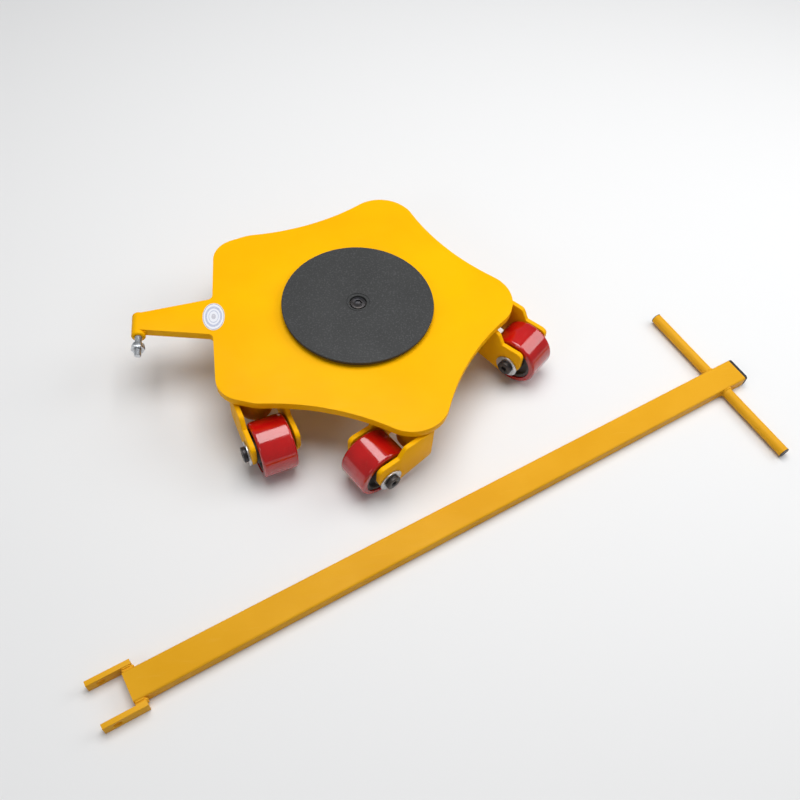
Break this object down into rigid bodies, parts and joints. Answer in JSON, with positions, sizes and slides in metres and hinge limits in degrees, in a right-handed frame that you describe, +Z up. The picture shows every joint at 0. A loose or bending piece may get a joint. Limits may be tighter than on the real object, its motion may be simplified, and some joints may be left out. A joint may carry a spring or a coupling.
{
  "type": "rotating load skate",
  "caption": "Low star-shaped machinery dolly on swivelling casters, with a free-turning round load pad, a tow lug with a cross pin and a loose T-bar pull handle beside it",
  "frame": {"origin": "on the floor, on the load pad's turning axis", "axes": "+Z up, the tow lug points along -X, the loose handle lies on the -Y side with its T-bar towards +X"},
  "size_m": [0.9873, 0.7549, 0.1185],
  "materials": {
    "yellow_paint": "satin powder coat",
    "handle_paint": "satin powder coat",
    "dark_steel": "phosphated",
    "bright_steel": "zinc plated",
    "red_tread": "glossy polyurethane",
    "core_iron": "painted casting",
    "pad_rubber": "matt",
    "label": "printed film",
    "black_plastic": "moulded"
  },
  "bodies": {
    "deck": {"deck_plate": "yellow_paint", "tow_tube": "yellow_paint", "lug_label": "label", "kingpins": "dark_steel", "kingpin_nuts": "bright_steel", "thrust_bearings": "bright_steel", "turntable_bearing": "bright_steel", "pivot_screw": "dark_steel", "pivot_nut": "bright_steel"},
    "turntable": {"turntable_plate": "dark_steel", "load_pad": "pad_rubber"},
    "tow_pin": {"tow_pin": "bright_steel", "tow_nut": "bright_steel"},
    "caster_1": {"cheeks_1": "yellow_paint", "crown_1": "yellow_paint", "swivel_housing_1": "yellow_paint", "axle_bolt_1": "dark_steel", "axle_washers_1": "bright_steel"},
    "wheel_1": {"wheel_core_1": "core_iron", "wheel_tread_1": "red_tread", "wheel_bearings_1": "bright_steel"},
    "caster_2": {"cheeks_2": "yellow_paint", "crown_2": "yellow_paint", "swivel_housing_2": "yellow_paint", "axle_bolt_2": "dark_steel", "axle_washers_2": "bright_steel"},
    "wheel_2": {"wheel_core_2": "core_iron", "wheel_tread_2": "red_tread", "wheel_bearings_2": "bright_steel"},
    "caster_3": {"cheeks_3": "yellow_paint", "crown_3": "yellow_paint", "swivel_housing_3": "yellow_paint", "axle_bolt_3": "dark_steel", "axle_washers_3": "bright_steel"},
    "wheel_3": {"wheel_core_3": "core_iron", "wheel_tread_3": "red_tread", "wheel_bearings_3": "bright_steel"},
    "caster_4": {"cheeks_4": "yellow_paint", "crown_4": "yellow_paint", "swivel_housing_4": "yellow_paint", "axle_bolt_4": "dark_steel", "axle_washers_4": "bright_steel"},
    "wheel_4": {"wheel_core_4": "core_iron", "wheel_tread_4": "red_tread", "wheel_bearings_4": "bright_steel"},
    "caster_5": {"cheeks_5": "yellow_paint", "crown_5": "yellow_paint", "swivel_housing_5": "yellow_paint", "axle_bolt_5": "dark_steel", "axle_washers_5": "bright_steel"},
    "wheel_5": {"wheel_core_5": "core_iron", "wheel_tread_5": "red_tread", "wheel_bearings_5": "bright_steel"},
    "pull_handle": {"pull_tube": "handle_paint", "fork_ears": "handle_paint", "ear_spacers": "handle_paint", "t_bar": "handle_paint", "tube_plug": "black_plastic", "t_bar_plugs": "black_plastic"}
  },
  "joints": [
    {"name": "turntable_turn", "type": "hinge", "parent": "deck", "child": "turntable", "pos_m": [0, 0, 0.113], "axis": [0, 0, 1], "continuous": true},
    {"name": "tow_pin_slide", "type": "slide", "parent": "deck", "child": "tow_pin", "axis": [0, -1, 0], "range_m": [-0.0135, 0.038]},
    {"name": "swivel_1", "type": "hinge", "parent": "deck", "child": "caster_1", "pos_m": [0.194, 0, 0.06], "axis": [0, 0, 1], "continuous": true},
    {"name": "roll_1", "type": "hinge", "parent": "caster_1", "child": "wheel_1", "pos_m": [0.24263, -0.05035, 0.04], "axis": [0.7193, 0.6947, 0], "continuous": true},
    {"name": "swivel_2", "type": "hinge", "parent": "deck", "child": "caster_2", "pos_m": [0.05995, 0.18451, 0.06], "axis": [0, 0, 1], "continuous": true},
    {"name": "roll_2", "type": "hinge", "parent": "caster_2", "child": "wheel_2", "pos_m": [0.02081, 0.12647, 0.04], "axis": [0.829, -0.5592, 0], "continuous": true},
    {"name": "swivel_3", "type": "hinge", "parent": "deck", "child": "caster_3", "pos_m": [-0.15695, 0.11403, 0.06], "axis": [0, 0, 1], "continuous": true},
    {"name": "roll_3", "type": "hinge", "parent": "caster_3", "child": "wheel_3", "pos_m": [-0.08848, 0.12858, 0.04], "axis": [-0.2079, 0.9781, 0], "continuous": true},
    {"name": "swivel_4", "type": "hinge", "parent": "deck", "child": "caster_4", "pos_m": [0.05995, -0.18451, 0.06], "axis": [0, 0, 1], "continuous": true},
    {"name": "roll_4", "type": "hinge", "parent": "caster_4", "child": "wheel_4", "pos_m": [0.00059, -0.2216, 0.04], "axis": [0.5299, -0.848, 0], "continuous": true},
    {"name": "swivel_5", "type": "hinge", "parent": "deck", "child": "caster_5", "pos_m": [-0.15695, -0.11403, 0.06], "axis": [0, 0, 1], "continuous": true},
    {"name": "roll_5", "type": "hinge", "parent": "caster_5", "child": "wheel_5", "pos_m": [-0.13648, -0.18097, 0.04], "axis": [0.9563, 0.2924, 0], "continuous": true},
    {"name": "handle_lift", "type": "slide", "parent": "deck", "child": "pull_handle", "axis": [0, 0, 1], "range_m": [0, 0.3]}
  ]
}
